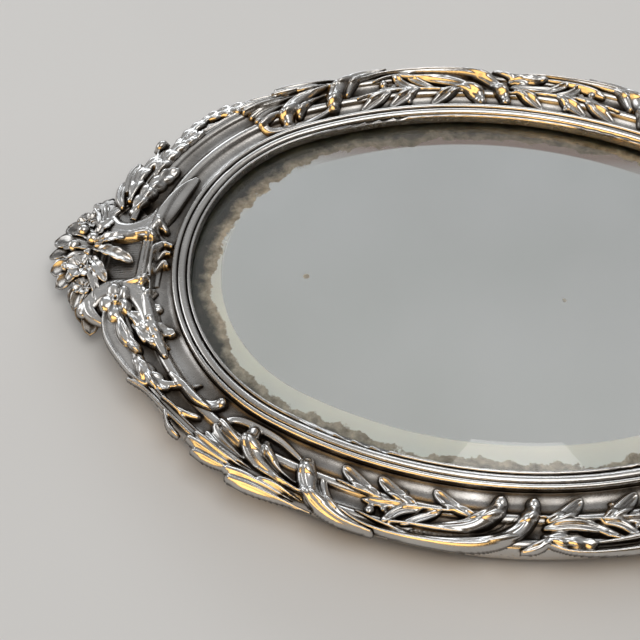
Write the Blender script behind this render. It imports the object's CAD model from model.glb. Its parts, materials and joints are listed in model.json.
import json
import math

import bpy
import numpy as np
from mathutils import Matrix, Vector


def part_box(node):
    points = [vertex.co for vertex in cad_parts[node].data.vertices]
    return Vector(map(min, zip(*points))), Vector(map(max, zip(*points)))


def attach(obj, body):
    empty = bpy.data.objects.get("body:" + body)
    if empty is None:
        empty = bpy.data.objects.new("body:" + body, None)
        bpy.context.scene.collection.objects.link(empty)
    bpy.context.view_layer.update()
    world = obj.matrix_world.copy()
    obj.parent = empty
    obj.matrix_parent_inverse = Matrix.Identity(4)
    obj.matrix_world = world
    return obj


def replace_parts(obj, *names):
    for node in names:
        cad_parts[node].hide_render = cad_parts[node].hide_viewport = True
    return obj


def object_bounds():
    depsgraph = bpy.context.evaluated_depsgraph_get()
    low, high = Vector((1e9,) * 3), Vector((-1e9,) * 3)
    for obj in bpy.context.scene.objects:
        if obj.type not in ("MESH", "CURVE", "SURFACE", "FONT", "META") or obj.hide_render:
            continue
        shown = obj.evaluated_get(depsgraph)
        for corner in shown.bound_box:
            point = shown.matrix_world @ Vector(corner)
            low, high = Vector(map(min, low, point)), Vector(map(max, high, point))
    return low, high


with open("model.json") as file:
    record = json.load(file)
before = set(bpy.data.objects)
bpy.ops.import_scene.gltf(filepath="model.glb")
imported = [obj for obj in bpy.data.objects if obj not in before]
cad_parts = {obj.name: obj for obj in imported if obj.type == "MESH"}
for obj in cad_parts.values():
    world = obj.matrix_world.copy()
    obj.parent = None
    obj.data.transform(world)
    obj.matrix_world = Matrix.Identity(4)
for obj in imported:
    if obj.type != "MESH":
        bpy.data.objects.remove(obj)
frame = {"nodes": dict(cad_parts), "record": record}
size_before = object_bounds()

MM = 0.001
BOX_Y = [size_before[0][1] / MM, size_before[1][1] / MM]

# ---------------------------------------------------------------- the oval, read from the CAD

ring_low, ring_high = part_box("bezel_ring")
MID_X = (ring_low[0] + ring_high[0]) / 2 / MM
BEZEL_OUT = 0.8        # from the outer reed, where u is 0, to the outside of the bezel ring
HALF_LENGTH = (ring_high[0] - ring_low[0]) / 2 / MM - BEZEL_OUT
HALF_WIDTH = (ring_high[1] - ring_low[1]) / 2 / MM - BEZEL_OUT
SMALL_R = 103.7
LARGE_R = (HALF_LENGTH**2 + HALF_WIDTH**2 - 2 * HALF_LENGTH * SMALL_R) / (2 * (HALF_WIDTH - SMALL_R))
END_X = HALF_LENGTH - SMALL_R
SIDE_Y = LARGE_R - HALF_WIDTH
TURN = math.atan2(SIDE_Y, END_X)
END_RUN = SMALL_R * TURN
MID_RUN = END_RUN + LARGE_R * (math.pi / 2 - TURN)


def spot(s, u, near=1, crest=1):
    """(x, y) in mm of the point s along the rim from the crest end and u outward; s may pass the middle."""
    s = np.asarray(s, float)
    past = s > MID_RUN
    s = np.where(past, 2 * MID_RUN - s, s)
    sign = np.where(s < 0, -1.0, 1.0)
    s = np.abs(s)
    a_end = s / SMALL_R
    a_side = TURN + (s - END_RUN) / LARGE_R
    x = np.where(s < END_RUN, -END_X - (SMALL_R + u) * np.cos(a_end), -(LARGE_R + u) * np.cos(a_side))
    y = np.where(s < END_RUN, -(SMALL_R + u) * np.sin(a_end), SIDE_Y - (LARGE_R + u) * np.sin(a_side))
    return MID_X + crest * np.where(past, -x, x), near * sign * y


def arc_height(u, a, b, c):
    """z of the circle through the (u, z) points a, b and c, on b's side."""
    (x1, y1), (x2, y2), (x3, y3) = a, b, c
    d = 2 * (x1 * (y2 - y3) + x2 * (y3 - y1) + x3 * (y1 - y2))
    s1, s2, s3 = x1 * x1 + y1 * y1, x2 * x2 + y2 * y2, x3 * x3 + y3 * y3
    ox = (s1 * (y2 - y3) + s2 * (y3 - y1) + s3 * (y1 - y2)) / d
    oy = (s1 * (x3 - x2) + s2 * (x1 - x3) + s3 * (x2 - x1)) / d
    r2 = (x1 - ox) ** 2 + (y1 - oy) ** 2
    side = 1 if y2 > oy else -1
    return oy + side * np.sqrt(np.clip(r2 - (u - ox) ** 2, 0, None))


FIELD_ARCS = [
    ((1.2, 19.6), (5.5, 17.9), (10.5, 19.2)),
    ((11.2, 20.2), (13.6, 21.6), (16.0, 20.6)),
    ((16.6, 20.0), (19.5, 19.9), (22.5, 20.9)),
    ((22.5, 20.9), (25.0, 22.6), (27.2, 21.4)),
]


def field_height(u):
    """Height of the frame's field at offset u, carried on past the rim for what hangs over it."""
    u = np.asarray(u, float)
    z = arc_height(u, *FIELD_ARCS[0])
    z = np.where(u > 10.5, 19.2 + (u - 10.5) / 0.7, z)
    z = np.where(u > 11.2, arc_height(u, *FIELD_ARCS[1]), z)
    z = np.where(u > 16.0, 20.6 - (u - 16.0), z)
    z = np.where(u > 16.6, arc_height(u, *FIELD_ARCS[2]), z)
    z = np.where(u > 22.5, arc_height(u, *FIELD_ARCS[3]), z)
    return np.where(u > 26.6, 21.95 - 0.22 * (u - 26.6), z)


FIELD_IN = 1.2         # offset at which the field comes out from under the bezel
SLOPE_FROM = 16.4      # offset at which the two ends start to fall to the outer edge


def end_slope(u):
    """Height of the plain slope that the cartouches lie on."""
    return 20.6 - 0.215 * (u - SLOPE_FROM)


# ---------------------------------------------------------------- relief features, all in mm


def smooth(x):
    x = np.clip(x, 0, 1)
    return x * x * (3 - 2 * x)


def curve(points, count=70):
    """Points along a smooth curve through or near the control points (Catmull-Rom)."""
    p = np.array(points, float)
    if len(p) == 2:
        t = np.linspace(0, 1, count)[:, None]
        return p[0] + (p[1] - p[0]) * t
    p = np.vstack([2 * p[0] - p[1], p, 2 * p[-1] - p[-2]])
    spans = len(p) - 3
    out = []
    for k in range(spans):
        a, b, c, d = p[k:k + 4]
        for t in np.linspace(0, 1, max(4, count // spans), endpoint=(k == spans - 1)):
            out.append(0.5 * (2 * b + (c - a) * t + (2 * a - 5 * b + 4 * c - d) * t * t
                              + (3 * b - a - 3 * c + d) * t**3))
    return np.array(out)


def along(X, Y, axis):
    """(share of the way along, signed distance from the axis) of every grid point."""
    steps = np.hypot(*np.diff(axis, axis=0).T)
    run = np.concatenate([[0], np.cumsum(steps)])
    best = np.full(X.shape, 1e9)
    share = np.zeros(X.shape)
    across = np.zeros(X.shape)
    for k in range(len(axis) - 1):
        (ax, ay), (bx, by) = axis[k], axis[k + 1]
        dx, dy = (bx - ax) / steps[k], (by - ay) / steps[k]
        t = (X - ax) * dx + (Y - ay) * dy
        low = -1e9 if k == 0 else 0
        high = 1e9 if k == len(axis) - 2 else steps[k]
        tc = np.clip(t, low, high)
        ex, ey = X - ax - tc * dx, Y - ay - tc * dy
        d = np.hypot(ex, ey)
        hit = d < best
        best = np.where(hit, d, best)
        share = np.where(hit, (run[k] + tc) / run[-1], share)
        across = np.where(hit, np.where(dx * (Y - ay) - dy * (X - ax) > 0, d, -d), across)
    return share, across, run[-1]


def ribbon(X, Y, line):
    """(share along, kept within the line's ends; distance across; distance past the nearer end)."""
    t, v, length = along(X, Y, line)
    return np.clip(t, 0, 1), v, np.maximum(0, np.maximum(-t, t - 1)) * length


NONE = -9.0            # height of nothing: so far down that no cell is kept


def dome(r, power=0.6):
    """1 at the middle, 0 at r = 1 and smoothly below that outside, so that edges come out clean."""
    p = 1 - np.minimum(r, 3.0) ** 2
    return np.sign(p) * np.abs(p) ** power


def bar(X, Y, points, wide, high, taper=(0.7, 0.5), knob=0.0, groove=0.0, edge=0.0):
    """Scroll bar along a curve. Taper gives the width at both ends, as a share of the widest.
    Knob swells the far end, groove hollows the middle, edge raises a thin lip along both sides."""
    line = curve(points)
    tc, v, over = ribbon(X, Y, line)
    swell = np.sin(np.pi * tc) ** 0.7
    w = wide / 2 * (taper[0] * (1 - tc) + taper[1] * tc + (1 - (taper[0] + taper[1]) / 2) * swell)
    w = np.maximum(w, 0.2)
    r = np.sqrt(v * v + over * over) / w
    h = high * (0.5 + 0.5 * w / (wide / 2)) * dome(r)
    inside = smooth((1 - r) * 3)
    h = h - groove * (1 - smooth(np.abs(v) / w * 1.5)) * inside
    h = h + edge * np.exp(-((np.abs(v) / w - 0.84) / 0.1) ** 2) * inside
    if knob:
        h = np.maximum(h, ball(X, Y, line[-1][0], line[-1][1], knob, high * 1.15))
    return h


def ball(X, Y, x, y, radius, high):
    return high * dome(np.hypot(X - x, Y - y) / radius, 0.5)


def comma(X, Y, points, wide, high, side=0.0, head=0.24, tail=0.1):
    """Fat acanthus lobe: a round head at the start that thins into a long tail. Side hollows one flank."""
    tc, v, over = ribbon(X, Y, curve(points))
    shape = np.where(tc < head, 0.72 + 0.28 * np.sin(0.5 * np.pi * tc / head),
                     1 - (1 - tail) * smooth((tc - head) / (1 - head)) ** 0.9)
    w = np.maximum(wide / 2 * shape, 0.2)
    r = np.sqrt(v * v + over * over) / w
    h = high * (0.45 + 0.55 * shape) * dome(r, 0.55)
    h = h - side * np.exp(-(((v / w) - 0.42) / 0.2) ** 2) * smooth((1 - r) * 4) * smooth(tc * 5)
    return h


def leaf(X, Y, points, wide, high, lobes=0, vein=0.5, cup=0.0, fat=0.45, lean=0.0, lobe_deep=0.28):
    """Leaf along a curve from base to tip, with a grooved midrib, side veins and lobed edges.
    Fat is where along the leaf it is widest. Cup raises its rim, and lean tilts it across."""
    tc, v, over = ribbon(X, Y, curve(points))
    shape = np.where(tc < fat, np.sin(0.5 * np.pi * (0.28 + 0.72 * tc / fat)),
                     np.sqrt(1 - (np.maximum(tc - fat, 0) / (1 - fat)) ** 2.2))
    side = np.abs(v)
    if lobes:
        phase = (tc * lobes - side / wide * 1.1) % 1.0
        shape = shape * (1 - lobe_deep * (1 - np.abs(np.sin(np.pi * phase)) ** 0.6) * smooth((1 - tc) * 4))
    w = np.maximum(wide / 2 * shape, 0.15)
    r = np.sqrt(side * side + over * over) / w
    inside = smooth((1 - r) * 4)
    h = high * dome(r, 0.5) * (0.66 + 0.34 * np.sin(np.pi * np.clip(0.15 + tc * 0.8, 0, 1)))
    h = h - vein * np.exp(-(v / (0.13 * wide)) ** 2) * smooth((1 - tc) * 5) * inside
    if lobes:
        rib = np.cos(2 * np.pi * (tc * lobes - side / wide * 1.1))
        h = h - vein * 0.7 * (0.5 + 0.5 * rib) * smooth(r * 2.2) * inside
    if cup:
        h = h - cup * (1 - smooth(r * 1.15)) * inside + 0.5 * cup * np.exp(-((r - 0.8) / 0.14) ** 2)
    return h + lean * np.clip(v / w, -1, 1) * inside


def blossom(X, Y, x, y, radius, high, petals, start, heart):
    """Flower with notched, cupped petals round a ringed heart."""
    d = np.hypot(X - x, Y - y) / radius
    a = np.arctan2(Y - y, X - x) - start
    k = np.abs(np.cos(petals * a / 2))
    r = d / (0.60 + 0.40 * k**0.6)
    h = high * (0.45 + 0.75 * np.clip(r, 0, 1) ** 1.3) * dome(r**2.2, 0.6)
    h = np.where(r < 1, h * (0.5 + 0.5 * k**0.8), h)
    ringed = high * (1.15 - 0.6 * np.clip(1 - d / heart * 1.6, 0, 1)) * dome((d / heart) ** 3, 0.6)
    return np.maximum(h, ringed)


def each(kind, A, B, *rows):
    """One feature of this kind for every row of its arguments."""
    return [kind(A, B, *row) for row in rows]


def together(*heights):
    out = heights[0]
    for h in heights[1:]:
        out = np.maximum(out, h)
    return out


PRESSED, PRESSED_REACH = 0.45, 2.2


def stacked(*heights):
    """Each piece on top of those before it, which are pressed down around its edge."""
    under = heights[0]
    for over in heights[1:]:
        shadow = smooth(1 + over / PRESSED_REACH) * (over < 0.3)
        under = np.maximum(np.where(under > 0, under - PRESSED * shadow, under), over)
    return under


# ---------------------------------------------------------------- turning relief into meshes

pieces = {}


def mesh_piece(name, verts, faces):
    data = bpy.data.meshes.new(name)
    data.from_pydata(verts, [], faces)
    data.validate()
    data.polygons.foreach_set("use_smooth", np.ones(len(data.polygons), bool))
    obj = bpy.data.objects.new(name, data)
    bpy.context.scene.collection.objects.link(obj)
    pieces[name] = obj
    return obj


def grid_faces(rows, cols, around_rows=False, around_cols=False, flip=False):
    """Faces of a grid of vertices, closed round on itself in either direction if asked."""
    faces = []
    for i in range(rows if around_rows else rows - 1):
        for j in range(cols if around_cols else cols - 1):
            a, b = i * cols, (i + 1) % rows * cols
            k = (j + 1) % cols
            faces.append((a + j, b + j, b + k, a + k) if flip else (a + j, a + k, b + k, b + j))
    return faces


def averaged(h):
    """Mean of the four neighbours of every grid point."""
    p = np.pad(h, 1, mode="edge")
    return (p[1:-1, :-2] + p[1:-1, 2:] + p[:-2, 1:-1] + p[2:, 1:-1]) / 4


def thicken(obj, thick):
    """Gives a sheet a real thickness downwards, as plain geometry."""
    mod = obj.modifiers.new("thick", "SOLIDIFY")
    mod.thickness = thick * MM
    mod.offset = -1
    mod.use_even_offset = False
    graph = bpy.context.evaluated_depsgraph_get()
    solid = bpy.data.meshes.new_from_object(obj.evaluated_get(graph))
    obj.modifiers.clear()
    obj.data = solid
    obj.data.polygons.foreach_set("use_smooth", np.ones(len(obj.data.polygons), bool))


def tarnish(obj, values):
    """Stores on each vertex how dark its silver has gone, from 0 to 1."""
    layer_ = obj.data.attributes.new("dirt", "FLOAT", "POINT")
    layer_.data.foreach_set("value", np.clip(values, 0, 1).astype(np.float32))


def valley_dirt(h):
    """Dark in the folds of the relief and where it meets the field, clean on its crests."""
    broad = np.maximum(h, -0.4)
    for _ in range(9):
        broad = averaged(broad)
    return np.clip((broad - h) / 0.7, 0, 1) + 0.8 * smooth(1 - h / 1.5)


def sheet_from_grid(name, x, y, z, keep, dirt, thick=1.2):
    """Mesh of the grid cells in keep. x, y, z are in mm; the faces are turned to look up."""
    rows, cols = x.shape
    index = np.arange(rows * cols).reshape(rows, cols)
    quads = np.stack([index[:-1, :-1], index[1:, :-1], index[1:, 1:], index[:-1, 1:]], -1)[keep]
    e1x, e1y = (x[1, 0] - x[0, 0]), (y[1, 0] - y[0, 0])
    e2x, e2y = (x[0, 1] - x[0, 0]), (y[0, 1] - y[0, 0])
    if e1x * e2y - e1y * e2x < 0:
        quads = quads[:, ::-1]
    used, flat = np.unique(quads, return_inverse=True)
    xyz = np.stack([x.ravel()[used], y.ravel()[used], z.ravel()[used]], -1) * MM
    obj = mesh_piece(name, xyz.tolist(), flat.reshape(-1, 4).tolist())
    tarnish(obj, dirt.ravel()[used])
    thicken(obj, thick)
    return obj


RIM_STEP, PLANE_STEP = 0.36, 0.33      # grid spacings
INSIDE_BOX = 0.1                       # the castings stay this far inside the CAD's sides
LOWEST = -0.8                          # what lies below this is cut off before the creases are rounded


def relief(feature, a_range, b_range, step):
    """(A, B, height, cells to keep) of a feature, its creases rounded by a fraction of a millimetre."""
    A, B = np.meshgrid(np.arange(*a_range, step), np.arange(*b_range, step), indexing="ij")
    H = np.clip(feature(A, B), LOWEST, None)
    for _ in range(3):
        H = 0.45 * H + 0.55 * averaged(H)
    highest = np.maximum(np.maximum(H[:-1, :-1], H[1:, :-1]), np.maximum(H[1:, 1:], H[:-1, 1:]))
    return A, B, H, highest > 0.0


def on_rim(name, s_range, u_range, feature, near, crest):
    """Cast relief that lies on the field. feature(S, U) gives its height above the field."""
    S, U, H, cell = relief(feature, s_range, u_range, RIM_STEP)
    X, Y = spot(S, U, near, crest)
    Y = np.clip(Y, BOX_Y[0] + INSIDE_BOX, BOX_Y[1] - INSIDE_BOX)
    return sheet_from_grid(name, X, Y, field_height(U) + H, cell, valley_dirt(H))


def on_plane(name, x_range, y_range, feature, base, end=1):
    """Cast relief over the base surface base(X, Y), drawn for the crest end and turned for the foot."""
    X, Y, H, cell = relief(feature, x_range, y_range, PLANE_STEP)
    return sheet_from_grid(name, MID_X + end * X, Y, base(X, Y) + H, cell, valley_dirt(H) * 0.8, 1.4)


# ---------------------------------------------------------------- the ornaments on the rim


def acanthus(S, U):
    """C-scroll of fat lobes, two fanned rim leaves and the long leaf that rises to the side scroll."""
    scroll = bar(S, U, [(98, 12.5), (100.5, 7.5), (108, 5.0), (122, 5.0), (134, 8.6), (139, 12)],
                 4.8, 3.2, (1.0, 0.5), groove=0.4)
    curls = together(*each(
        comma, S, U,
        ([(98.5, 12), (103, 14.5), (111, 17), (120, 20)], 5.6, 3.6, 0.7),
        ([(97, 16.5), (102, 19), (110, 20.5), (119, 22.5)], 5.2, 3.4, 0.7),
        ([(96.5, 20.8), (103, 22.6), (111, 23.2), (121, 24.5)], 4.8, 3.0, 0.6)))
    fan = together(*each(
        comma, S, U,
        ([(94.5, 24.5), (104, 25), (118, 25.5)], 4.8, 3.8, 0.9, 0.2),
        ([(93.5, 28.4), (103, 27.8), (118, 27)], 5.0, 4.0, 0.9, 0.2),
        ([(98, 31.4), (107, 30), (121, 28)], 4.6, 3.6, 0.9, 0.2)))
    fan2 = together(*each(
        comma, S, U,
        ([(111.5, 29.5), (122, 28.6), (140, 29)], 5.6, 4.4, 0.9, 0.2),
        ([(114, 32.4), (126, 31.4), (148, 31)], 5.6, 4.2, 0.8, 0.2),
        ([(124, 26.8), (132, 26.6), (144, 28)], 3.8, 3.6, 0.6, 0.2)))
    lobe = comma(S, U, [(111, 7.6), (112.5, 13), (119, 19), (131, 23), (142, 25)], 9.4, 6.2, 1.3, 0.2, 0.2)
    lobe2 = comma(S, U, [(118.5, 9.6), (121.5, 14), (128, 18.2), (138, 21)], 5.8, 4.6, 0.8, 0.2, 0.2)
    long_leaf = together(*each(
        comma, S, U,
        ([(138.5, 9.6), (140.5, 16), (147, 24.5), (158, 29.8), (172, 31.4)], 9.6, 7.0, 1.4, 0.2, 0.3),
        ([(148, 16.6), (151.5, 22.5), (159, 27.8), (170, 30)], 5.8, 5.2, 0.9, 0.2, 0.3)))
    return stacked(scroll, curls, fan, fan2, lobe, lobe2, long_leaf)


def sprig(S, U):
    """Laurel sprig: long pointed leaves folded along the middle, berries, and a thin stem."""
    stem = together(
        bar(S, U, [(153, 12.5), (166, 14.3), (184, 15), (204, 13.6), (216, 12.6)], 1.9, 2.4, (0.7, 0.6)),
        bar(S, U, [(176, 14.6), (172, 18), (169.5, 20.6)], 1.2, 1.9))
    leaves = each(
        leaf, S, U,
        ([(171, 13.6), (163, 10.0), (153, 4.2)], 7.6, 3.6, 0, 1.5, 0.4, 0.5, 0.5),
        ([(187, 14.6), (179, 10.2), (169.5, 4.2)], 7.6, 3.8, 0, 1.5, 0.4, 0.5, 0.5),
        ([(211, 15), (203, 11), (194, 4.2)], 7.2, 3.8, 0, 1.5, 0.4, 0.5, 0.5),
        ([(189, 15.5), (181, 18.5), (175, 26)], 5.8, 4.0, 0, 1.3, 0.3, 0.5, -0.5),
        ([(197, 15.5), (190, 19.5), (182, 25.0)], 5.2, 3.8, 0, 1.2, 0.3, 0.5, -0.5),
        ([(181, 15), (174, 17), (165, 17.2)], 4.2, 3.2, 0, 0.9, 0.2))
    berries = together(ball(S, U, 169.5, 21.0, 2.5, 3.4), ball(S, U, 174.8, 19.2, 1.8, 2.8),
                       ball(S, U, 182, 8.0, 1.9, 2.6))
    return stacked(stem, *leaves, berries)


def side_scroll_half(S, U):
    """Long rim bar and the shorter inner bar that both roll over into knobs near the middle."""
    t, v, _ = along(S, U, curve([(186, 26.2), (205, 26.4), (219, 23.0), (227, 15)]))
    reach = 3.8 * np.sin(np.pi * np.clip(t, 0.001, 0.999)) ** 0.6
    matted = 0.45 + 0.3 * np.sin(S * 3.4 + 0.8 * U) * np.sin(U * 3.0)
    matted = matted - 2.5 * smooth((np.abs(v) - reach) / 0.8)
    outer = together(
        comma(S, U, [(237, 5.8), (235, 12), (228, 20.6), (213, 27.4), (190, 29.2), (170, 28.9), (156, 25)],
              7.4, 5.6, 1.1, 0.12, 0.34),
        ball(S, U, 236.8, 6.6, 3.4, 5.6))
    inner = together(
        comma(S, U, [(223, 5.6), (220, 11.5), (211, 18.4), (199, 21.6), (186, 23.2), (178, 24.6)],
              9.0, 5.4, 1.1, 0.2, 0.24),
        ball(S, U, 222.8, 6.4, 3.6, 5.4))
    link = bar(S, U, [(164, 23.5), (176, 26.2), (190, 28.0)], 2.2, 2.2, (0.4, 0.5))
    return stacked(np.where(S > 186, matted, NONE), link, inner, outer)


def side_scroll(S, U):
    """The half seen from the crest, and on its other side the leaves that answer it."""
    leaves = each(
        leaf, S, U,
        ([(239, 22), (248, 23.5), (259, 26.5)], 8.4, 4.6, 3, 1.0, 0.4, 0.4, 0.0, 0.25),
        ([(240, 18), (251, 17.0), (266, 20)], 6.6, 4.4, 0, 1.1, 0.3, 0.4, 0.4),
        ([(230, 29.0), (236, 26.5), (242, 22.6)], 4.6, 4.0, 0, 0.9, 0.3, 0.5))
    answer = comma(S, U, [(305, 20.5), (303, 26), (292, 28.6), (268, 29.4), (250, 28.6), (238, 25)],
                   6.0, 4.8, 1.0, 0.12, 0.3)
    low = comma(S, U, [(289, 21.5), (279, 23.5), (266, 25), (254, 25.5)], 4.8, 3.4, 0.7, 0.2, 0.3)
    return stacked(side_scroll_half(S, U), low, answer, *leaves)


def rim_sheet(S, U, start, end, wide_at):
    """Smooth sheet that carries the field out past the rim, with a fine bright edge."""
    t = np.clip((S - start) / (end - start), 0, 1)
    edge = 26.5 + (wide_at - 26.5) * np.sin(np.pi * np.clip(t * 0.86 + 0.14, 0, 1)) ** 0.7
    edge = edge + 0.6 * np.sin(S / 4.6)
    h = 0.5 + 0.4 * smooth((U - 27) / 3) + 1.3 * np.exp(-((U - edge + 1.0) / 0.7) ** 2)
    h = np.where(U > edge, np.minimum(h, 2.0) - 6 * (U - edge), h)
    off = np.maximum(np.maximum(start - S, S - end), 25.4 - U)
    return np.where(off > 0, h - 3 * off, h)


def garland_leafy(S, U):
    """The garland that hangs from the crest: a flower, lobed leaves, husks and the rim's smooth edge."""
    rim = together(
        rim_sheet(S, U, 16, 66, 37.0),
        bar(S, U, [(59, 33.5), (68, 28.6), (82, 27.0), (98, 26.6)], 2.4, 1.6, (0.7, 0.8)),
        bar(S, U, [(56, 27.6), (68, 25.0), (82, 23.4), (96, 23.4)], 1.6, 1.1, (0.8, 0.8)))
    hooks = together(
        bar(S, U, [(66, 15.5), (74, 13.4), (82, 12.6), (88, 9.6), (90.5, 5.4)],
            6.2, 3.8, (0.5, 1.0), knob=3.2, groove=0.6),
        comma(S, U, [(89, 18.4), (83, 21.5), (74, 24.5)], 4.4, 3.8, 0.6, 0.2, 0.5),
        comma(S, U, [(89, 31.2), (84.5, 30.8), (79, 28.0)], 3.2, 2.8, 0, 0.2, 0.4))
    leaves = each(
        leaf, S, U,
        ([(54, 26), (63, 23.5), (72, 19.5)], 9.4, 4.6, 3, 1.3, 0.5, 0.4),
        ([(31, 28), (41, 27.4), (52, 22.4)], 7.0, 4.8, 2, 1.5, 0.5, 0.5, 0.7),
        ([(38, 22), (46, 17.0), (53.5, 9.4)], 7.6, 4.6, 3, 1.2, 0.4, 0.45),
        ([(31, 24), (39.5, 14.5), (47.5, 3.8)], 9.4, 5.2, 4, 1.4, 0.5, 0.45),
        ([(26, 22), (29.5, 14.5), (31.8, 6.6)], 8.4, 4.4, 3, 1.2, 0.5, 0.5),
        ([(66, 22), (71, 17), (75.5, 10.5), (77.5, 5.4)], 4.0, 3.4, 0, 0.6, 0.0, 0.3))
    return stacked(rim, hooks, *leaves, blossom(S, U, 25.5, 28.6, 9.2, 4.8, 5, 0.35, 0.26))


def garland_feathered(S, U):
    """The other side's garland: rows of feathered leaves with a bud, on the outer half of the field."""
    leaves = each(
        leaf, S, U,
        ([(78, 36), (92, 31.5), (104, 24.5)], 10.4, 4.6, 5, 1.3, 0.5, 0.4),
        ([(56, 30.5), (70, 33.5), (82, 36)], 8.6, 4.6, 4, 1.2, 0.4, 0.4),
        ([(42, 29.5), (58, 30.0), (73, 27)], 9.8, 5.0, 5, 1.3, 0.5, 0.4),
        ([(26, 34), (42, 36), (56, 33)], 9.0, 5.0, 4, 1.2, 0.4, 0.4),
        ([(20, 29), (34, 25.5), (50, 20.0)], 10.0, 5.0, 5, 1.3, 0.5, 0.4),
        ([(30, 38), (37, 41), (45, 42)], 6.2, 4.2, 0, 1.2, 0.3, 0.5),
        ([(22, 36), (27, 40.5), (34, 43.0)], 5.8, 4.0, 0, 1.1, 0.3, 0.5))
    stalk = bar(S, U, [(48, 35), (53, 38), (56, 39.6)], 1.8, 2.8)
    return stacked(rim_sheet(S, U, 16, 96, 31.0), *leaves, stalk, ball(S, U, 56.5, 39.8, 3.4, 5.0))


for near, side in ((1, "near"), (-1, "far")):
    for crest, end in ((1, "crest"), (-1, "foot")):
        tag = "_" + side + "_" + end
        feathered = (near == -1) == (crest == 1)
        hanging = garland_feathered if feathered else garland_leafy
        for kind, feature, s_range in (("garland", hanging, (16, 106)), ("acanthus", acanthus, (88, 180)),
                                       ("sprig", sprig, (148, 220))):
            made = on_rim(kind + tag + "_cast", s_range, (2.4, 44), feature, near, crest)
            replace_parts(made, kind + tag)
    made = on_rim("scroll_" + side + "_cast", (148, 310), (2.4, 38), side_scroll, near, 1)
    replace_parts(made, "scroll_" + side)

# ---------------------------------------------------------------- the shell itself

WALL_TOP, WALL_FOOT = 21.4, 3.6
WALL = [(27.2, WALL_TOP), (28.0, 19.5), (28.35, 16.5), (28.2, 13.5), (27.8, 10.5), (27.1, 7.2), (26.2, 4.6),
        (25.5, 3.8), (24.6, WALL_FOOT)]
BEAD_FADES = (25, 34)      # distances from the middle of an end between which the rim bead comes back
WALL_DROPS = 3.1           # how much lower the wall's top is where there is no bead


def shell_mesh():
    """The swept moulding. At both ends its rim bead fades into the slope that the cartouche lies on."""
    top = np.concatenate([np.linspace(FIELD_IN, 10.8, 26), np.linspace(11.1, SLOPE_FROM, 18),
                          np.linspace(16.8, 27.1, 30)])
    wall = curve(WALL, 40)
    count = 340
    verts = []
    for near, crest, forward in ((1, 1, True), (1, -1, False), (-1, -1, True), (-1, 1, False)):
        s = np.linspace(0, MID_RUN, count, endpoint=False)
        s = s if forward else MID_RUN - s
        end = 1 - smooth((s - BEAD_FADES[0]) / (BEAD_FADES[1] - BEAD_FADES[0]))
        for k, run in enumerate(s):
            z = field_height(top)
            z = np.where(top > SLOPE_FROM, z * (1 - end[k]) + end_slope(top) * end[k], z)
            drop = (wall[:, 1] - WALL_FOOT) / (WALL_TOP - WALL_FOOT)
            wz = wall[:, 1] - end[k] * WALL_DROPS * np.clip(drop, 0, 1)
            u = np.concatenate([top, wall[1:, 0]])
            x, y = spot(np.full(len(u), run), u, near, crest)
            verts.append(np.stack([x, y, np.concatenate([z, wz[1:]])], -1) * MM)
    verts = np.array(verts)
    rows, cols = verts.shape[:2]
    across = np.concatenate([top, wall[1:, 0] + 40])
    dirt = np.interp(across, [1.2, 3, 8, 10.4, 11.0, 11.8, 15.2, 16.6, 22.4, 24, 27, 67, 68],
                     [0.9, 0.45, 0.30, 0.7, 0.9, 0.1, 0.1, 0.8, 0.6, 0.15, 0.1, 0.1, 0.15])
    faces = grid_faces(rows, cols, around_rows=True)
    made = mesh_piece("frame_shell_cast", verts.reshape(-1, 3).tolist(), faces)
    if made.data.polygons[0].normal.z < 0:
        made.data.flip_normals()
    tarnish(made, np.tile(dirt, rows))
    thicken(made, 1.2)
    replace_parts(made, "frame_shell")


shell_mesh()

# ---------------------------------------------------------------- crest and foot cartouches


def crest_slope(X, Y):
    """The cartouche falls from the field to its outer edge."""
    u = np.hypot(X + END_X, Y) - SMALL_R
    inner = field_height(np.clip(u, FIELD_IN, SLOPE_FROM))
    return np.where(u < SLOPE_FROM, inner, end_slope(u))


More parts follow.
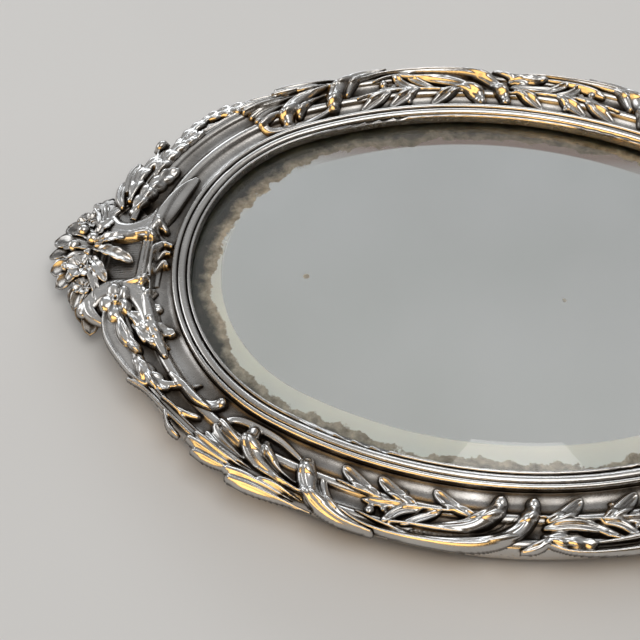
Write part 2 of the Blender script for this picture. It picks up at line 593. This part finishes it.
def cartouche(X, Y):
    """Shield with a hatched panel, held between two broad shoulder scrolls that roll in to volutes."""
    Q = Y + 4.5
    W = np.abs(Q)
    half = 15 + 21 * smooth((-X - 170) / 22) - 9 * smooth((-X - 198) / 12)
    off = np.maximum(np.maximum(W - half, -X - 208.5), X + 171.0)
    plate = 1.3 - 1.2 * smooth(off + 0.6) - 3 * np.maximum(off, 0)
    hatch = 0.13 * np.sin(Y * 4.6) + 0.10 * np.sin(Y * 11.0 + X * 0.6)
    panel = smooth((14.0 - W) / 0.8) * smooth((8.6 - np.abs(X + 191.6)) / 0.8)
    plate = plate + panel * (hatch - 0.75)
    shoulders = []
    for side in (1, -1):
        shoulders += [
            bar(X, Q, [(-161, side * 57), (-168.5, side * 43), (-174.5, side * 31), (-181.5, side * 22),
                       (-191, side * 18.4), (-200, side * 20.5), (-206, side * 28)],
                12.4, 4.6, (0.25, 0.9), groove=0.9, edge=0.3),
            bar(X, Q, [(-206, side * 24), (-203, side * 31.5), (-195, side * 38)],
                6.8, 4.4, (1.0, 0.4), groove=1.0, edge=0.3),
            comma(X, Q, [(-177.6, side * 13.2), (-182, side * 15.4), (-191, side * 15.8)],
                  7.8, 5.8, 0.8, 0.3, 0.4),
            comma(X, Q, [(-172.4, side * 19.6), (-176.5, side * 24), (-183, side * 27.5)],
                  5.6, 4.4, 0.6, 0.3, 0.3)]
    border = bar(X, Q, [(-203.5, -25), (-206.2, 0), (-203.5, 25)], 8.4, 4.4, (1.0, 1.0), groove=1.2, edge=0.4)
    flat = 1.5 - 1.6 * smooth((np.abs(X + 181.2) - 1.7) / 0.5) - 2.0 * smooth((W - 17) / 0.8)
    line = bar(X, Q, [(-178.2, -22), (-177.6, 0), (-178.2, 15)], 1.3, 2.2, (1.0, 1.0))
    scroll = together(*each(
        comma, X, Q,
        ([(-168.4, 10.0), (-172.6, 11.4), (-175.6, 6.5), (-176, -2), (-174.8, -14), (-173.2, -26)],
         4.8, 4.0, 0.7, 0.3, 0.35),
        ([(-168.6, 5.4), (-171.6, 5.2), (-174.4, -1)], 4.0, 3.4, 0.5, 0.3, 0.3),
        ([(-168.8, -2.4), (-171.0, -1.0), (-174.4, -8)], 4.6, 3.8, 0.6, 0.3, 0.3)))
    return stacked(plate, flat, line, border, *shoulders, scroll)


made = on_plane("crest_cartouche_cast", (-211, -156), (-64, 56), cartouche, crest_slope)
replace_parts(made, "crest_cartouche")


def foot_cartouche(X, Y):
    """The crest's cartouche, shorter."""
    return cartouche(np.where(X < -172, -172 + (X + 172) * 36.0 / 26.0, X), Y - 4.5)


made = on_plane("foot_cartouche_cast", (-200, -165), (-44, 42), foot_cartouche, crest_slope, end=-1)
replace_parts(made, "foot_cartouche")

# ---------------------------------------------------------------- bouquet, modelled in the round


def join(parts):
    """One (verts, faces) from several."""
    verts, faces = [], []
    for v, f in parts:
        faces += [tuple(i + len(verts) for i in face) for face in f]
        verts += list(v)
    return verts, faces


def leaf_sheet(base, tip, rise, wide, droop=0.0, lobes=3, curl=0.0, turn=0.0, rows=22, cols=9, fat=0.5):
    """Cupped leaf from base to tip in mm, arched by rise. Turn rolls it about its axis."""
    base, tip = np.array(base, float), np.array(tip, float)
    axis = tip - base
    length = np.linalg.norm(axis)
    fwd = axis / length
    side = np.cross([0, 0, 1.0], fwd)
    side /= np.linalg.norm(side)
    up = np.cross(fwd, side)
    c, s = math.cos(turn), math.sin(turn)
    side, up = side * c + up * s, up * c - side * s
    verts = []
    for i in range(rows):
        t = i / (rows - 1)
        shape = math.sin(0.5 * math.pi * (0.35 + 0.65 * t / fat)) if t < fat else \
            math.sqrt(max(0.0, 1 - ((t - fat) / (1 - fat)) ** 2.2))
        if lobes:
            shape *= 1 - 0.42 * (1 - abs(math.sin(math.pi * t * lobes)) ** 0.6) * (1 - 0.6 * t)
        half = wide / 2 * max(shape, 0.06)
        for j in range(cols):
            v = 2 * j / (cols - 1) - 1
            lift = rise * math.sin(math.pi * (0.1 + 0.9 * t)) - droop * t * t
            lift += curl * abs(v) ** 1.8 - 0.55 * math.exp(-(v / 0.22) ** 2) * (1 - t)
            if lobes:
                lift += 0.38 * math.cos(2 * math.pi * (t * lobes - 0.35 * abs(v))) * abs(v)
            p = base + fwd * (t * length) + side * (v * half) + up * lift
            verts.append(tuple(p * MM))
    return verts, grid_faces(rows, cols)


def round_bud(centre, radius, squash=1.0, creases=0, tilt=(0, 0, 1), rows=14, cols=20):
    """Ball or bud with optional creases running to its tip."""
    centre = np.array(centre, float)
    up = Vector(tilt).normalized()
    turn = np.array(up.to_track_quat("Z", "Y").to_matrix())
    verts = []
    for i in range(rows + 1):
        a = math.pi * i / rows
        for j in range(cols):
            b = 2 * math.pi * j / cols
            r = radius * (1 + (0.10 * math.cos(creases * b) * math.sin(a) if creases else 0))
            flat = r * math.sin(a)
            p = np.array([flat * math.cos(b), flat * math.sin(b), r * squash * math.cos(a)])
            verts.append(tuple((centre + turn @ p) * MM))
    return verts, grid_faces(rows + 1, cols, around_cols=True, flip=True)


def torus(centre, radius, thick, rows=24, cols=10):
    verts = []
    for i in range(rows):
        a = 2 * math.pi * i / rows
        for j in range(cols):
            b = 2 * math.pi * j / cols
            r = radius + thick * math.cos(b)
            verts.append(((centre[0] + r * math.cos(a)) * MM, (centre[1] + r * math.sin(a)) * MM,
                          (centre[2] + thick * math.sin(b)) * MM))
    return verts, grid_faces(rows, cols, True, True, flip=True)


def open_flower(centre, radius, petals, start):
    """Cupped petals, a ring and a bead."""
    x, y, z = centre
    parts = []
    for k in range(petals):
        a = start + 2 * math.pi * k / petals
        base = (x + 0.12 * radius * math.cos(a), y + 0.12 * radius * math.sin(a), z)
        tip = (x + radius * math.cos(a), y + radius * math.sin(a), z + 0.22 * radius)
        parts.append(leaf_sheet(base, tip, 0.4, radius * 0.98, 0.2, 0, 1.1, fat=0.66, rows=12))
    parts.append(torus((x, y, z + 1.2), radius * 0.24, 0.62))
    parts.append(round_bud((x, y, z + 1.0), radius * 0.13))
    return parts


def cast_group(name, parts, node, thick=0.9):
    verts, faces = join(parts)
    obj = mesh_piece(name, verts, faces)
    height = np.array(verts)[:, 2] / MM
    tarnish(obj, 0.75 * np.clip((18.5 - height) / 7.0, 0, 1))
    if thick:
        thicken(obj, thick)
    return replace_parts(obj, node)


def at(x, y, z):
    return (MID_X + x, y, z)


LEAF_TIPS = [(-208, 44, 9), (-218, 30, 10), (-228, 22, 10), (-232.5, 11, 11), (-233.5, 1, 10.5),
             (-230.5, -9, 11), (-226, -18, 10), (-216, -28, 10), (-209, -38, 9.5), (-203, -45, 9)]
under_leaves = [
    leaf_sheet(at(-204, y * 0.2, 15.0), at(x, y, z), 2.4, 10.6, 0.6, 3, 1.3, 0.25 * math.sin(k * 2.1), fat=0.7)
    for k, (x, y, z) in enumerate(LEAF_TIPS)]
for x, y, z, w in ((-213, 37, 13, 7), (-223, 16, 14, 7), (-226, 5, 14.5, 6.5), (-224, -5, 14.5, 6.5),
                   (-220, -17, 14.5, 6.5), (-213, -33, 13, 6.5), (-205, -36, 13.5, 6), (-206, 36, 14, 6)):
    under_leaves.append(leaf_sheet(at(-205, y * 0.35, 17.0), at(x, y, z), 2.4, w * 1.25, 0.4, 2, 1.2, 0.2,
                                   fat=0.7))
cast_group("bouquet_leaves_cast", under_leaves, "bouquet_leaves")
mound = [round_bud(at(-207, 0, 13.5), 9.5, 0.45), round_bud(at(-206, 16, 12.5), 8, 0.5),
         round_bud(at(-206, -17, 12.5), 8, 0.5)]
roses = open_flower(at(-212.5, -10, 18.2), 8.0, 5, 0.5) + open_flower(at(-209.5, -21.5, 17.2), 5.6, 5, 0.1)
roses += open_flower(at(-215.5, 21, 15.6), 6.0, 5, 0.8)
cast_group("bouquet_rose_cast", roses, "bouquet_rose")
buds = [round_bud(at(x, y, z), r, 1.1, c, tilt) for x, y, z, r, c, tilt in (
    (-216, 13.5, 18.2, 3.5, 0, (0, 0, 1)), (-219, 3.5, 18.0, 3.2, 3, (-1, 0, 1)),
    (-209.5, 7.5, 19.4, 3.7, 0, (0, 0, 1)), (-207, 17, 18.2, 3.2, 4, (0, 1, 1)),
    (-210.5, -1.5, 19.4, 2.6, 3, (0, 0, 1)), (-221.5, -8.5, 16.0, 2.6, 3, (-1, -1, 1)),
    (-212, 27.5, 15.8, 2.8, 3, (0, 1, 1)))]
cast_group("bouquet_buds_cast", buds + mound, "bouquet_buds", 0)
sprays = [leaf_sheet(at(-208, 1, 19.5), at(-186, -6.5, 20.4), 3.0, 7.6, 0.2, 4, 1.3, fat=0.6),
          leaf_sheet(at(-208, 4, 19.5), at(-193, 9.5, 20.6), 2.6, 6.6, 0.2, 3, 0.9),
          leaf_sheet(at(-208, -4, 18.5), at(-198, -19, 19.2), 2.4, 6.6, 0.2, 3, 0.9),
          leaf_sheet(at(-209, -6, 18.5), at(-201, -27, 17.0), 2.2, 5.6, 0.3, 3, 0.8),
          leaf_sheet(at(-209, 10, 18.5), at(-201, 22, 18.2), 2.2, 6.0, 0.3, 3, 0.8)]
cast_group("bouquet_sprays_cast", sprays, "bouquet_sprays")

shell = [leaf_sheet(at(186, y * 0.25, 17.5), at(x, y, z), 2.4, 7.6, 0.6, 0, -0.8) for x, y, z in (
    (198.5, 21, 11.5), (202.5, 13.5, 12), (204.5, 5, 12),
    (204.5, -5, 12), (202.5, -13.5, 12), (198.5, -21, 11.5))]
shell += [leaf_sheet(at(184, 0, 20.5), at(198, y, 17.5), 2.0, 5.4, 0.4, 0, 0.6) for y in (-9, 0, 9)]
shell += [round_bud(at(184, 0, 20.8), 3.0)]
cast_group("foot_shell_cast", shell, "foot_shell")

# ---------------------------------------------------------------- materials


class Nodes:
    """A small helper for building a node tree."""

    def __init__(self, tree):
        self.tree = tree
        tree.nodes.clear()

    def give(self, socket, value):
        """Links the socket to what comes from a node, or else sets it."""
        if hasattr(value, "links"):
            self.tree.links.new(value, socket)
        else:
            socket.default_value = (*value, 1) if socket.type == "RGBA" else value

    def node(self, kind, inputs=None, **settings):
        made = self.tree.nodes.new(kind)
        for key, value in settings.items():
            setattr(made, key, value)
        for key, value in (inputs or {}).items():
            self.give(made.inputs[key], value)
        return made

    def ramp(self, value, *stops):
        made = self.node("ShaderNodeValToRGB", {0: value})
        band = made.color_ramp
        while len(band.elements) < len(stops):
            band.elements.new(0.5)
        for element, (place, colour) in zip(band.elements, stops):
            element.position = place
            element.color = (*colour, 1)
        return made.outputs[0]

    def level(self, value, a, b, low, high):
        """Value carried from the range a to b over to the range low to high, and kept within it."""
        return self.node("ShaderNodeMapRange", {
            "Value": value, "From Min": a, "From Max": b, "To Min": low, "To Max": high}).outputs[0]

    def mix(self, factor, a, b, blend="MIX"):
        made = self.node("ShaderNodeMix", data_type="RGBA", blend_type=blend)
        for socket, value in zip([s for s in made.inputs if s.enabled], (factor, a, b)):
            self.give(socket, value)
        return [s for s in made.outputs if s.enabled][0]


class Maker(Nodes):
    """A node material on one Principled shader."""

    def __init__(self, name):
        self.mat = bpy.data.materials.new(name)
        self.mat.use_nodes = True
        super().__init__(self.mat.node_tree)
        self.shader = self.node("ShaderNodeBsdfPrincipled")
        self.node("ShaderNodeOutputMaterial", {"Surface": self.shader.outputs[0]})
        self.coord = self.node("ShaderNodeTexCoord").outputs["Object"]

    def set(self, **values):
        for key, value in values.items():
            self.give(self.shader.inputs[key.replace("_", " ")], value)

    def stretch(self, scale):
        return self.node("ShaderNodeMapping", {"Scale": scale, "Vector": self.coord}).outputs[0]

    def noise(self, scale, detail=4.0, rough=0.55, vector=None, twist=0.0):
        return self.node("ShaderNodeTexNoise", {
            "Scale": scale, "Detail": detail, "Roughness": rough, "Distortion": twist,
            "Vector": vector or self.coord}).outputs["Fac"]

    def maths(self, operation, a, b):
        return self.node("ShaderNodeMath", {0: a, 1: b}, operation=operation).outputs[0]

    def plus(self, a, b):
        return self.maths("ADD", a, b)

    def times(self, a, b):
        return self.maths("MULTIPLY", a, b)

    def bump(self, height, strength, distance):
        self.set(Normal=self.node("ShaderNodeBump", {
            "Strength": strength, "Distance": distance, "Height": height}).outputs[0])


def silver(name):
    """Old hand-polished silver: bright on the high spots, sulphide brown-black in the recesses."""
    m = Maker(name)
    hollow = m.node("ShaderNodeAmbientOcclusion", {"Distance": 0.008}, samples=8, only_local=False)
    open_ = m.level(hollow.outputs["AO"], 0.40, 0.90, 0.0, 1.05)
    dirt = m.node("ShaderNodeAttribute", attribute_name="dirt").outputs["Fac"]
    rubbed_ = m.maths("SUBTRACT", open_, m.level(dirt, 0.0, 1.0, 0.0, 0.72))
    worn = m.plus(rubbed_, m.level(m.noise(55.0, 5.0, 0.6), 0.35, 0.75, -0.14, 0.10))
    bright = m.ramp(m.noise(28.0, 3.0), (0.3, (0.43, 0.415, 0.397)), (0.7, (0.58, 0.567, 0.550)))
    stain = m.ramp(m.noise(240.0, 4.0), (0.3, (0.022, 0.017, 0.013)), (0.7, (0.075, 0.060, 0.046)))
    shade = m.ramp(worn, (0.08, (0, 0, 0)), (0.80, (1, 1, 1)))
    m.set(Metallic=1.0, Base_Color=m.mix(shade, stain, bright))
    rubbed = m.level(m.noise(320.0, 5.0, 0.7, m.stretch((1.0, 2.2, 1.0))), 0.3, 0.75, 0.20, 0.20 + 0.10)
    m.set(Roughness=m.plus(rubbed, m.level(worn, 0.0, 0.7, 0.14, 0.0)))
    dents = m.times(m.noise(90.0, 2.0), 1.5)
    m.bump(m.plus(m.noise(1100.0, 4.0, 0.6), dents), 0.07, 0.0004)
    return m.mat


def aged_brass(name):
    m = Maker(name)
    m.set(Metallic=1.0)
    m.set(Base_Color=m.ramp(m.noise(180.0, 5.0), (0.3, (0.24, 0.15, 0.05)), (0.65, (0.62, 0.45, 0.19))))
    m.set(Roughness=m.level(m.noise(500.0), 0.3, 0.7, 0.24, 0.46))
    m.bump(m.noise(1400.0), 0.12, 0.0003)
    return m.mat


def old_steel(name):
    m = Maker(name)
    m.set(Metallic=1.0)
    m.set(Base_Color=m.ramp(m.noise(700.0), (0.3, (0.10, 0.085, 0.07)), (0.7, (0.36, 0.34, 0.31))))
    m.set(Roughness=m.level(m.noise(900.0), 0.3, 0.7, 0.32, 0.55))
    m.bump(m.noise(2400.0), 0.15, 0.0002)
    return m.mat


def wood(name, dark, light, rough=0.45):
    m = Maker(name)
    grain = m.noise(26.0, 6.0, 0.65, m.stretch((1.0, 14.0, 14.0)), 0.5)
    fine = m.noise(420.0, 3.0, 0.6, m.stretch((0.12, 3.0, 3.0)))
    both = m.plus(m.times(grain, 0.75), m.times(fine, 0.25))
    m.set(Base_Color=m.ramp(both, (0.36, dark), (0.62, light)))
    m.set(Roughness=m.level(fine, 0.3, 0.7, rough, rough + 0.16), Coat_Weight=0.15)
    m.bump(both, 0.25, 0.0005)
    return m.mat


def velvet(name, dark, light):
    m = Maker(name)
    nap = m.noise(60.0, 3.0, 0.6)
    pile = m.noise(2600.0, 2.0)
    m.set(Base_Color=m.ramp(nap, (0.3, dark), (0.72, light)), Roughness=m.level(nap, 0.3, 0.7, 0.78, 0.95))
    m.set(Sheen_Weight=0.55, Sheen_Roughness=0.35)
    m.bump(m.plus(pile, m.times(nap, 0.6)), 0.5, 0.0006)
    return m.mat


def plate_glass(name):
    """Old plate: faintly green, with a few smears."""
    m = Maker(name)
    m.set(Base_Color=m.ramp(m.noise(14.0, 2.0), (0.3, (0.950, 0.970, 0.958)), (0.7, (0.968, 0.978, 0.972))))
    smear = m.noise(34.0, 4.0, 0.6, m.stretch((1.0, 2.6, 1.0)))
    m.set(Roughness=m.level(smear, 0.45, 0.8, 0.0, 0.035))
    m.set(Transmission_Weight=1.0, IOR=1.51)
    m.bump(m.noise(9.0, 1.0), 0.02, 0.0006)
    return m.mat


def foxed_silvering(name):
    """Old silvering: dark and bare at the margin, a ragged beige tide line, a hazed bevel, and pinholes."""
    m = Maker(name)
    edge = m.node("ShaderNodeAttribute", attribute_name="edge").outputs["Fac"]
    place = m.node("ShaderNodeSeparateXYZ", {"Vector": m.coord})
    ragged = m.plus(m.times(m.noise(15.0, 3.0, 0.6), 0.70),
                     m.times(m.noise(120.0, 5.0, 0.7), 0.34))
    left = m.level(place.outputs["X"], -0.16, 0.02, 0.0050, 0.0)
    far = m.level(place.outputs["Y"], -0.02, 0.08, 0.0, 0.0042)
    reach = m.plus(m.level(ragged, 0.36, 0.64, 0.0046, 0.0142), m.plus(left, far))
    inward = m.maths("SUBTRACT", edge, reach)
    gone = m.level(inward, -0.0003, 0.0004, 1.0, 0.0)
    tide = m.level(m.plus(inward, m.level(m.noise(160.0, 5.0, 0.7), 0.3, 0.7, -0.002, 0.002)),
                   -0.0075, -0.0022, 0.0, 1.0)
    olive = m.ramp(m.noise(90.0, 5.0, 0.7), (0.34, (0.012, 0.014, 0.010)), (0.66, (0.060, 0.058, 0.042)))
    beige = m.ramp(m.noise(150.0, 5.0, 0.7), (0.30, (0.17, 0.135, 0.090)), (0.62, (0.66, 0.58, 0.46)))
    paint = m.mix(m.times(tide, m.level(place.outputs["Y"], 0.03, 0.10, 1.0, 0.45)), olive, beige)
    speck = m.node("ShaderNodeTexVoronoi", {"Scale": 46.0, "Vector": m.coord}, feature="F1")
    size = m.level(m.noise(31.0, 2.0), 0.50, 0.72, 0.0, 0.085)
    pin = m.level(m.maths("SUBTRACT", speck.outputs["Distance"], size), -0.02, 0.02, 0.85, 0.0)
    lost = m.maths("MAXIMUM", gone, pin)
    tin = m.ramp(m.noise(7.0, 2.0), (0.35, (0.80, 0.79, 0.785)), (0.7, (0.86, 0.86, 0.86)))
    bevel = m.level(edge, 0.0188, 0.0200, 1.0, 0.0)
    near_side = m.level(place.outputs["Y"], 0.055, -0.03, 0.0, 1.0)
    haze = m.times(near_side, m.level(m.noise(40.0, 4.0), 0.25, 0.75, 0.55, 0.90))
    pale = m.times(bevel, haze)
    brown = m.times(bevel, m.level(place.outputs["Y"], 0.070, 0.088, 0.0, 0.75))
    silvered = m.mix(pale, tin, (0.97, 1.0, 0.93))
    silvered = m.mix(brown, silvered, (0.30, 0.155, 0.10))
    m.set(Base_Color=m.mix(lost, silvered, paint))
    m.set(Metallic=m.maths("SUBTRACT", 1.0, m.maths("MAXIMUM", lost, pale)))
    m.set(Roughness=m.level(m.maths("MAXIMUM", lost, pale), 0.0, 1.0, 0.03, 0.75))
    return m.mat


def paper(name):
    m = Maker(name)
    m.set(Base_Color=m.ramp(m.noise(40.0, 5.0), (0.3, (0.20, 0.15, 0.09)), (0.7, (0.40, 0.32, 0.22))))
    m.set(Roughness=0.9)
    m.bump(m.noise(900.0), 0.3, 0.0003)
    return m.mat


SILVER = silver("old_silver")
BRASS = aged_brass("aged_brass")
STEEL = old_steel("dull_steel")
MAHOGANY = wood("stained_mahogany", (0.030, 0.012, 0.006), (0.115, 0.050, 0.024))
PINE = wood("oiled_board", (0.16, 0.085, 0.038), (0.36, 0.215, 0.105), 0.6)
VELVET = velvet("plum_velvet", (0.016, 0.004, 0.008), (0.075, 0.014, 0.028))
FELT = velvet("brown_felt", (0.030, 0.018, 0.012), (0.085, 0.055, 0.036))
GLASS = plate_glass("old_plate_glass")
FOXED = foxed_silvering("foxed_silvering")
PAPER = paper("backing_paper")

BY_SLOT = {"silver": SILVER, "glass": GLASS, "mirror": FOXED, "paper": PAPER, "wood": PINE,
           "dark_wood": MAHOGANY, "velvet": VELVET, "felt": FELT, "brass": BRASS, "screw_steel": STEEL}
slot_of = {part["node"]: part["material_slot"] for part in frame["record"]["subparts"]}
for name, obj in frame["nodes"].items():
    obj.data.materials.clear()
    obj.data.materials.append(BY_SLOT[slot_of[name]])

# ---------------------------------------------------------------- silvering with its edge distance

SILVER_EDGE = 4.4      # the glass and its silvering end this far inside the outer reed
QUARTER = 120          # points along each quarter of the oval
ROUND = 4 * QUARTER

low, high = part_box("silvering")
rings = np.concatenate([np.linspace(0, 30, 61), np.linspace(33, 96, 20)])
loops = []
for near, crest, order in ((1, 1, 1), (1, -1, -1), (-1, -1, 1), (-1, 1, -1)):
    s = np.linspace(0, MID_RUN, QUARTER, endpoint=False)
    s = s if order == 1 else MID_RUN - s
    loops.append((s, near, crest))
verts, edge = [], []
for depth in rings:
    for s, near, crest in loops:
        x, y = spot(s, -SILVER_EDGE - depth, near, crest)
        verts += [(a * MM, b * MM, high[2] - 0.03 * MM) for a, b in zip(x, y)]
        edge += [depth * MM] * len(s)
faces = grid_faces(len(rings), ROUND, around_cols=True)
faces.append(tuple((len(rings) - 1) * ROUND + j for j in range(ROUND)))
layer = mesh_piece("silvering_layer", verts, faces)
tag = layer.data.attributes.new("edge", "FLOAT", "POINT")
tag.data.foreach_set("value", edge)
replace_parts(layer, "silvering")
layer.data.materials.append(FOXED)

# ---------------------------------------------------------------- velvet and felt


def cloth(name, node, verts, faces, thick, material, nap):
    """A glued cloth facing: a gently uneven sheet, its outer side down."""
    verts = np.array(verts, float)
    wave = np.sin(verts[:, 0] * 90) * np.sin(verts[:, 1] * 110)
    wave = wave + 0.6 * np.sin(verts[:, 0] * 310 + 2 * verts[:, 1] * 90)
    verts[:, 2] += nap * MM * (0.5 + 0.3 * wave)
    made = mesh_piece(name, verts.tolist(), faces)
    if made.data.polygons[0].normal.z > 0:
        made.data.flip_normals()
    thicken(made, thick)
    made.data.materials.append(material)
    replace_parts(made, node)
    return made


def oval_grid(offsets, z, keep=lambda x, y: True):
    """Rings at these offsets round the oval, and the faces whose every corner is to be kept."""
    verts_ = []
    for u in offsets:
        for s, near, crest in loops:
            x, y = spot(s, u, near, crest)
            verts_ += [(a * MM, b * MM, z) for a, b in zip(x, y)]
    faces_ = grid_faces(len(offsets), ROUND, around_cols=True)
    return verts_, [face for face in faces_ if all(keep(verts_[q][0], verts_[q][1]) for q in face)]


low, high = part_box("door_velvet")
DOOR_RINGS = 60
verts, faces = oval_grid(np.linspace(-4.6, -100, DOOR_RINGS), low.z)
faces.append(tuple((DOOR_RINGS - 1) * ROUND + j for j in range(ROUND)))
door_cloth = cloth("door_velvet_cloth", "door_velvet", verts, faces, 0.6, VELVET, 0.08)

low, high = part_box("rear_felt")
channel_x, channel_y = 0.0695, 0.0390      # where the channel for the folded strut cuts the felt
verts, faces = oval_grid(np.linspace(23.3, 10.2, 12), low.z, lambda x, y: x < channel_x or abs(y) > channel_y)
rear_cloth = cloth("rear_felt_cloth", "rear_felt", verts, faces, 1.0, FELT, 0.1)

low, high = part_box("strut_velvet")
STRUT_HALF, FOOT_HALF = 22, 36         # half widths of the strut's straight part and of its foot
FLARE_FROM, FLARE_LONG = 83.5, 109
FOOT_HOLLOW, FOOT_LOBE = 24, 30        # half width of the foot's hollow, and the middle of each toe
HOLLOW_X, TOE_X = 182.5, 192.5         # where the hollow and the toes start
verts = []
columns, lines = 41, 150
for i in range(lines):
    for j in range(columns):
        v = 2 * j / (columns - 1) - 1
        y_end = abs(v) * FOOT_HALF
        if y_end < FOOT_HOLLOW:
            reach = HOLLOW_X + (TOE_X - HOLLOW_X) * (y_end / FOOT_HOLLOW) ** 2
        else:
            reach = TOE_X + 3 * (1 - ((y_end - FOOT_LOBE) / (FOOT_HALF - FOOT_LOBE)) ** 2)
        x = low.x / MM + (reach - low.x / MM) * i / (lines - 1)
        bow = np.clip((x - FLARE_FROM) / FLARE_LONG, 0, 1)
        half = STRUT_HALF + (FOOT_HALF - STRUT_HALF) * bow - 3.0 * math.sin(math.pi * bow)
        verts.append((x * MM, v * half * MM, low.z))
faces = grid_faces(lines, columns)
strut_cloth = cloth("strut_velvet_cloth", "strut_velvet", verts, faces, 0.6, VELVET, 0.08)

own = {layer.name: "mirror", door_cloth.name: "velvet", rear_cloth.name: "felt", strut_cloth.name: "velvet"}
for name, obj in pieces.items():
    if name not in own:
        obj.data.materials.append(SILVER)
    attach(obj, "strut" if obj is strut_cloth else "frame")

# ---------------------------------------------------------------- stage, light and camera


def stage_material():
    m = Maker("pale_floor")
    m.set(Base_Color=m.ramp(m.noise(3.0, 2.0), (0.3, (0.70, 0.69, 0.675)), (0.7, (0.73, 0.72, 0.705))))
    m.set(Roughness=0.95, Specular_IOR_Level=0.05)
    return m.mat


bpy.ops.mesh.primitive_plane_add(size=6.0, location=(0, 0, 0))
floor = bpy.context.object
floor.name = "floor"
floor.data.materials.append(stage_material())


def softbox(name, where, target, wide, tall, power, colour):
    data = bpy.data.lights.new(name, "AREA")
    data.shape = "RECTANGLE"
    data.size, data.size_y = wide, tall
    data.energy = power
    data.color = colour
    lamp = bpy.data.objects.new(name, data)
    bpy.context.scene.collection.objects.link(lamp)
    lamp.location = where
    lamp.rotation_euler = (Vector(target) - Vector(where)).to_track_quat("-Z", "Y").to_euler()
    return lamp


softbox("window", (-0.35, 2.2, 0.75), (0, 0, 0), 2.0, 0.9, 20, (0.90, 0.95, 1.0))
softbox("overhead", (0.30, -0.30, 1.8), (0, 0, 0), 1.3, 1.0, 13, (1.0, 0.985, 0.96))
softbox("left_fill", (-1.9, 0.3, 0.9), (0, 0, 0), 1.1, 0.9, 9, (0.96, 0.98, 1.0))
warm = softbox("warm_lamp", (-0.60, -1.35, 0.66), (0, 0, 0), 2.3, 1.0, 26, (1.0, 0.60, 0.20))
warm.visible_diffuse = False

world = bpy.data.worlds.new("room")
bpy.context.scene.world = world
world.use_nodes = True
room = Nodes(world.node_tree)
split = room.node("ShaderNodeSeparateXYZ", {"Vector": room.node("ShaderNodeTexCoord").outputs["Generated"]})
rise = room.ramp(
    room.level(split.outputs["Z"], 0.0, 1.0, 0.0, 1.0),
    (0.0, (0.16, 0.15, 0.145)), (0.30, (0.30, 0.30, 0.30)), (0.60, (0.50, 0.50, 0.50)),
    (0.85, (0.53, 0.525, 0.515)), (1.0, (0.50, 0.49, 0.475)))
turn = room.ramp(
    room.level(split.outputs["Y"], -1.0, 1.0, 0.0, 1.0),
    (0.0, (0.16, 0.13, 0.10)), (0.30, (0.28, 0.24, 0.20)), (0.48, (0.72, 0.70, 0.68)),
    (0.60, (1.0, 1.0, 1.0)), (1.0, (0.96, 0.99, 1.03)))
surroundings = room.node("ShaderNodeBackground", {"Color": room.mix(1.0, rise, turn, "MULTIPLY")})
backdrop = room.node("ShaderNodeBackground", {"Color": (0.60, 0.595, 0.585)})
either = room.node("ShaderNodeMixShader", {
    0: room.node("ShaderNodeLightPath").outputs["Is Camera Ray"],
    1: surroundings.outputs[0], 2: backdrop.outputs[0]})
room.node("ShaderNodeOutputWorld", {"Surface": either.outputs[0]})

camera = bpy.data.objects.new("camera", bpy.data.cameras.new("camera"))
bpy.context.scene.collection.objects.link(camera)
camera.data.lens = 50.9
camera.data.sensor_width = 36.0
camera.data.clip_start = 0.01
azimuth, elevation, roll = map(math.radians, (2.42, 57.30, 1.29))
back = Vector((math.sin(azimuth) * math.cos(elevation), -math.cos(azimuth) * math.cos(elevation),
               math.sin(elevation)))
right = Vector((math.cos(azimuth), math.sin(azimuth), 0))
up = back.cross(right)
right, up = right * math.cos(roll) + up * math.sin(roll), up * math.cos(roll) - right * math.sin(roll)
camera.matrix_world = Matrix(((right.x, up.x, back.x, -0.06383), (right.y, up.y, back.y, -0.27553),
                              (right.z, up.z, back.z, 0.39578), (0, 0, 0, 1)))
bpy.context.scene.camera = camera
bpy.context.scene.view_settings.view_transform = "Standard"
